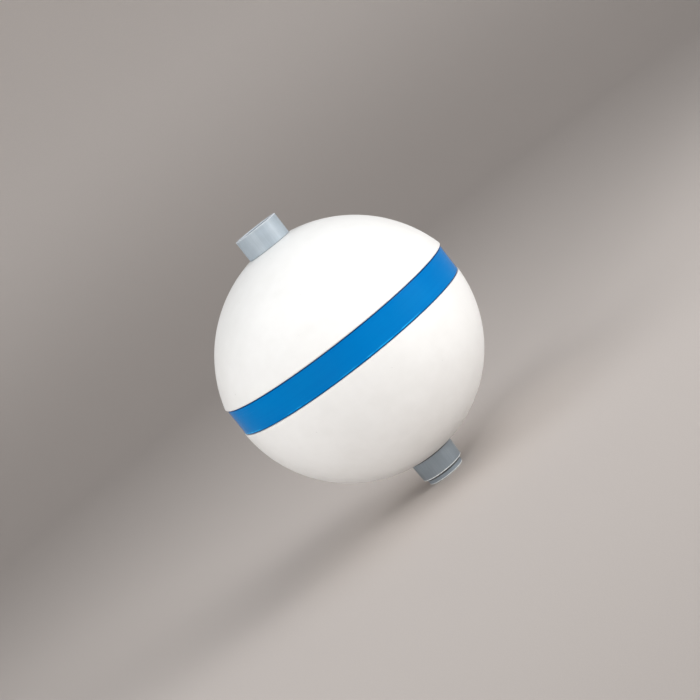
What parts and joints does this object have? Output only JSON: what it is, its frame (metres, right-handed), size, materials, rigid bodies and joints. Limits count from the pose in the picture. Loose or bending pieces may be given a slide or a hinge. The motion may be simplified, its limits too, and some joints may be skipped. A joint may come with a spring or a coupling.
{
  "type": "in-line ball float valve",
  "caption": "Spherical in-line float valve: two moulded shells with a band over their joint, pipe sockets on both poles, and a caged float ball that closes the upper port.",
  "frame": {"origin": "centre of the lower port's end face, where the pipework that carries the valve is joined", "axes": "+Z along the valve's axis, from the lower port up to the upper port; +X and +Y are any two square directions across it"},
  "size_m": [0.3322, 0.3322, 0.3843],
  "materials": {
    "white_shell": "satin",
    "blue_band": "gloss",
    "grey_pvc": "satin",
    "black_moulding": "matte",
    "black_rubber": "matte",
    "stainless_steel": "brushed",
    "float_plastic": "satin"
  },
  "bodies": {
    "housing": {"upper_dome": "white_shell", "lower_bowl": "white_shell", "joint_band": "blue_band", "joint_spigot": "black_moulding", "upper_joint_oring": "black_rubber", "lower_joint_oring": "black_rubber", "upper_socket": "grey_pvc", "lower_socket": "grey_pvc", "lower_bush": "grey_pvc", "upper_gasket": "black_rubber", "lower_gasket": "black_rubber", "upper_backnut": "grey_pvc", "lower_backnut": "grey_pvc", "seat_holder": "black_moulding", "seat_ring": "black_rubber", "seat_retainer": "stainless_steel", "seat_screw_1": "stainless_steel", "seat_screw_2": "stainless_steel", "seat_screw_3": "stainless_steel", "seat_screw_4": "stainless_steel", "guide_rod_1": "stainless_steel", "guide_rod_2": "stainless_steel", "guide_rod_3": "stainless_steel", "guide_rod_4": "stainless_steel", "rod_top_nut_1": "stainless_steel", "rod_top_nut_2": "stainless_steel", "rod_top_nut_3": "stainless_steel", "rod_top_nut_4": "stainless_steel", "rod_bottom_nut_1": "stainless_steel", "rod_bottom_nut_2": "stainless_steel", "rod_bottom_nut_3": "stainless_steel", "rod_bottom_nut_4": "stainless_steel", "cage_ring": "black_moulding", "rest_pad": "black_rubber"},
    "float": {"float_upper_half": "float_plastic", "float_lower_half": "float_plastic"}
  },
  "joints": [
    {"name": "float_lift", "type": "slide", "parent": "housing", "child": "float", "axis": [0, 0, 1], "range_m": [0, 0.1303]}
  ]
}
